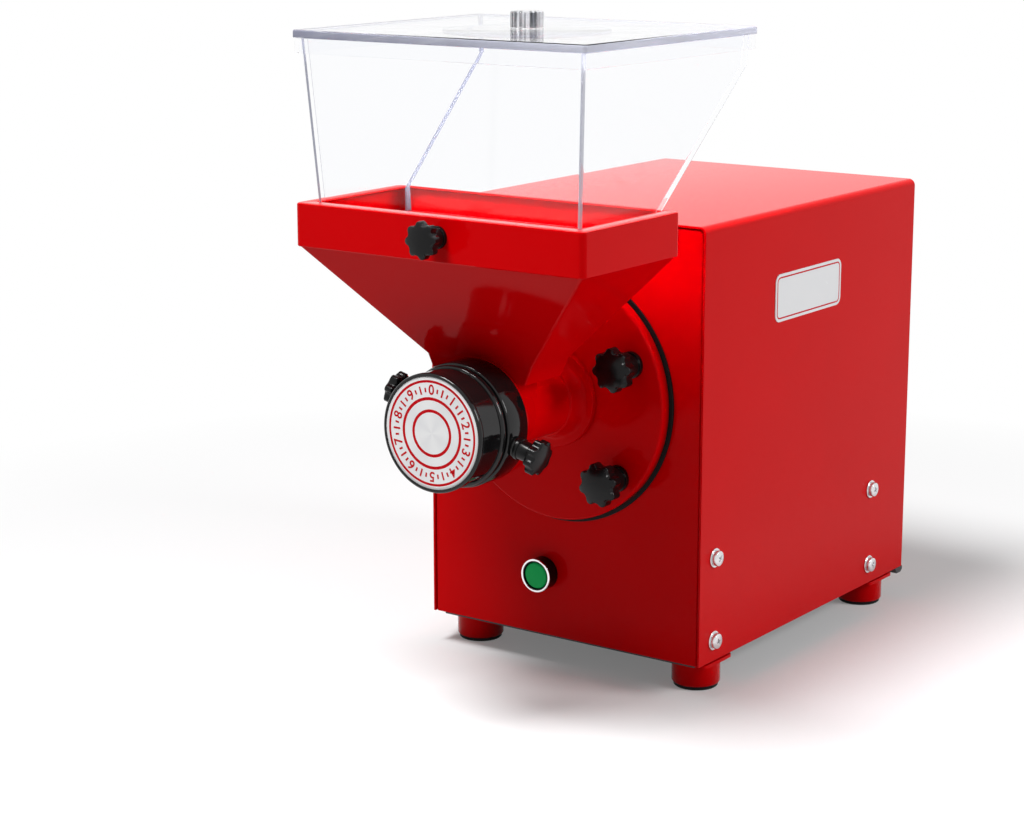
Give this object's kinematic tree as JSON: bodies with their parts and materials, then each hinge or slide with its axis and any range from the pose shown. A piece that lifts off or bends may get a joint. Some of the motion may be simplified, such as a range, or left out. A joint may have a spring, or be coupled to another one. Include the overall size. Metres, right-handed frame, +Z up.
{
  "type": "nut butter grinder",
  "caption": "Electric nut butter grinder with a boxed motor drive, front grinding head with adjusting dial, feed funnel, clear hopper and lid.",
  "frame": {"origin": "on the surface it stands on, under the middle of the whole object", "axes": "+Z up, the grinding head and dial point to -Y, +X to the side with the plain plate"},
  "size_m": [0.2814, 0.5722, 0.5524],
  "materials": {
    "red_paint": "glossy red enamel on sheet steel and castings",
    "dark_steel": "dark grey coated steel",
    "rubber": "black rubber",
    "stainless_steel": "bright stainless steel",
    "black_plastic": "glossy black moulded plastic",
    "black_enamel": "glossy black enamel on turned metal",
    "green_plastic": "green moulded plastic",
    "white_enamel": "white enamel with printed red lines",
    "chrome": "polished chrome",
    "clear_plastic": "clear moulded plastic",
    "cast_aluminium": "bare cast aluminium and iron"
  },
  "bodies": {
    "housing": {"cover": "red_paint", "front_panel": "red_paint", "rear_panel": "red_paint", "feet": "red_paint", "flange_plate": "red_paint", "feed_tube": "red_paint", "hopper_funnel": "red_paint", "base_pan": "dark_steel", "frame_posts": "dark_steel", "fan_cover": "dark_steel", "motor_bracket": "dark_steel", "foot_pads": "rubber", "flange_gasket": "rubber", "shaft_seal": "rubber", "cover_screws": "stainless_steel", "cover_washers": "stainless_steel", "flange_studs": "stainless_steel", "fixed_burr": "stainless_steel", "front_bearing": "stainless_steel", "button_body": "black_plastic", "contact_block": "black_plastic", "cord_gland": "black_plastic", "burr_housing": "black_enamel", "lock_ring": "black_enamel", "outlet_ring": "black_enamel", "badge_plate": "white_enamel", "capacitor": "white_enamel", "terminal_block": "white_enamel", "button_bezel": "chrome", "bearing_housing": "cast_aluminium", "gear_case": "cast_aluminium", "gear_cover": "cast_aluminium", "motor_frame": "cast_aluminium", "motor_bells": "cast_aluminium"},
    "button": {"button_cap": "green_plastic"},
    "drive": {"drive_shaft": "stainless_steel", "feed_screw": "stainless_steel", "rotating_burr": "stainless_steel", "burr_nut": "stainless_steel", "thrust_ball": "stainless_steel", "large_gear": "cast_aluminium"},
    "motor_rotor": {"rotor": "stainless_steel", "pinion": "stainless_steel", "cooling_fan": "black_plastic"},
    "dial": {"dial_cap": "black_enamel", "dial_disc": "white_enamel"},
    "pusher": {"adjuster_pusher": "stainless_steel"},
    "clamp_right": {"clamp_knob_right": "black_plastic"},
    "clamp_left": {"clamp_knob_left": "black_plastic"},
    "knob_upper_right": {"flange_knob_upper_right": "black_plastic"},
    "knob_lower_right": {"flange_knob_lower_right": "black_plastic"},
    "knob_upper_left": {"flange_knob_upper_left": "black_plastic"},
    "knob_lower_left": {"flange_knob_lower_left": "black_plastic"},
    "hopper_clamp": {"hopper_knob": "black_plastic"},
    "hopper": {"clear_hopper": "clear_plastic"},
    "hopper_lid": {"lid": "clear_plastic", "lid_knob": "clear_plastic"}
  },
  "joints": [
    {"name": "button_press", "type": "slide", "parent": "housing", "child": "button", "axis": [0, 1, 0], "range_m": [0, 0.003], "stiffness_N_per_m": 400},
    {"name": "drive_spin", "type": "hinge", "parent": "housing", "child": "drive", "pos_m": [0, -0.0891, 0.239], "axis": [0, -1, 0], "continuous": true},
    {"name": "motor_spin", "type": "hinge", "parent": "housing", "child": "motor_rotor", "pos_m": [0, -0.0891, 0.179], "axis": [0, -1, 0], "continuous": true},
    {"name": "dial_turn", "type": "hinge", "parent": "housing", "child": "dial", "pos_m": [0, -0.2611, 0.239], "axis": [0, -1, 0], "range_deg": [0, 300]},
    {"name": "pusher_slide", "type": "slide", "parent": "housing", "child": "pusher", "axis": [0, -1, 0], "range_m": [0, 0.0013]},
    {"name": "clamp_right_turn", "type": "hinge", "parent": "housing", "child": "clamp_right", "pos_m": [0.05796, -0.22055, 0.22347], "axis": [0.9659, 0, -0.2588], "range_deg": [0, 340]},
    {"name": "clamp_left_turn", "type": "hinge", "parent": "housing", "child": "clamp_left", "pos_m": [-0.05796, -0.22055, 0.25453], "axis": [-0.9659, 0, 0.2588], "range_deg": [0, 340]},
    {"name": "knob_upper_right_turn", "type": "hinge", "parent": "housing", "child": "knob_upper_right", "pos_m": [0.07477, -0.1091, 0.27387], "axis": [0, -1, 0], "range_deg": [0, 340]},
    {"name": "knob_lower_right_turn", "type": "hinge", "parent": "housing", "child": "knob_lower_right", "pos_m": [0.06258, -0.1091, 0.17856], "axis": [0, -1, 0], "range_deg": [0, 340]},
    {"name": "knob_upper_left_turn", "type": "hinge", "parent": "housing", "child": "knob_upper_left", "pos_m": [-0.07477, -0.1091, 0.27387], "axis": [0, -1, 0], "range_deg": [0, 340]},
    {"name": "knob_lower_left_turn", "type": "hinge", "parent": "housing", "child": "knob_lower_left", "pos_m": [-0.06258, -0.1091, 0.17856], "axis": [0, -1, 0], "range_deg": [0, 340]},
    {"name": "hopper_clamp_turn", "type": "hinge", "parent": "housing", "child": "hopper_clamp", "pos_m": [0.0045, -0.2616, 0.39039], "axis": [0, -1, 0], "range_deg": [0, 340]},
    {"name": "hopper_lift", "type": "slide", "parent": "housing", "child": "hopper", "axis": [0, 0, 1], "range_m": [0, 0.06]},
    {"name": "lid_lift", "type": "slide", "parent": "hopper", "child": "hopper_lid", "axis": [0, 0, 1], "range_m": [0, 0.06]}
  ],
  "couplings": [
    {"joint": "motor_spin", "follows": "drive_spin", "ratio": -3},
    {"joint": "pusher_slide", "follows": "dial_turn", "m_per_rad": 0.00023873}
  ]
}
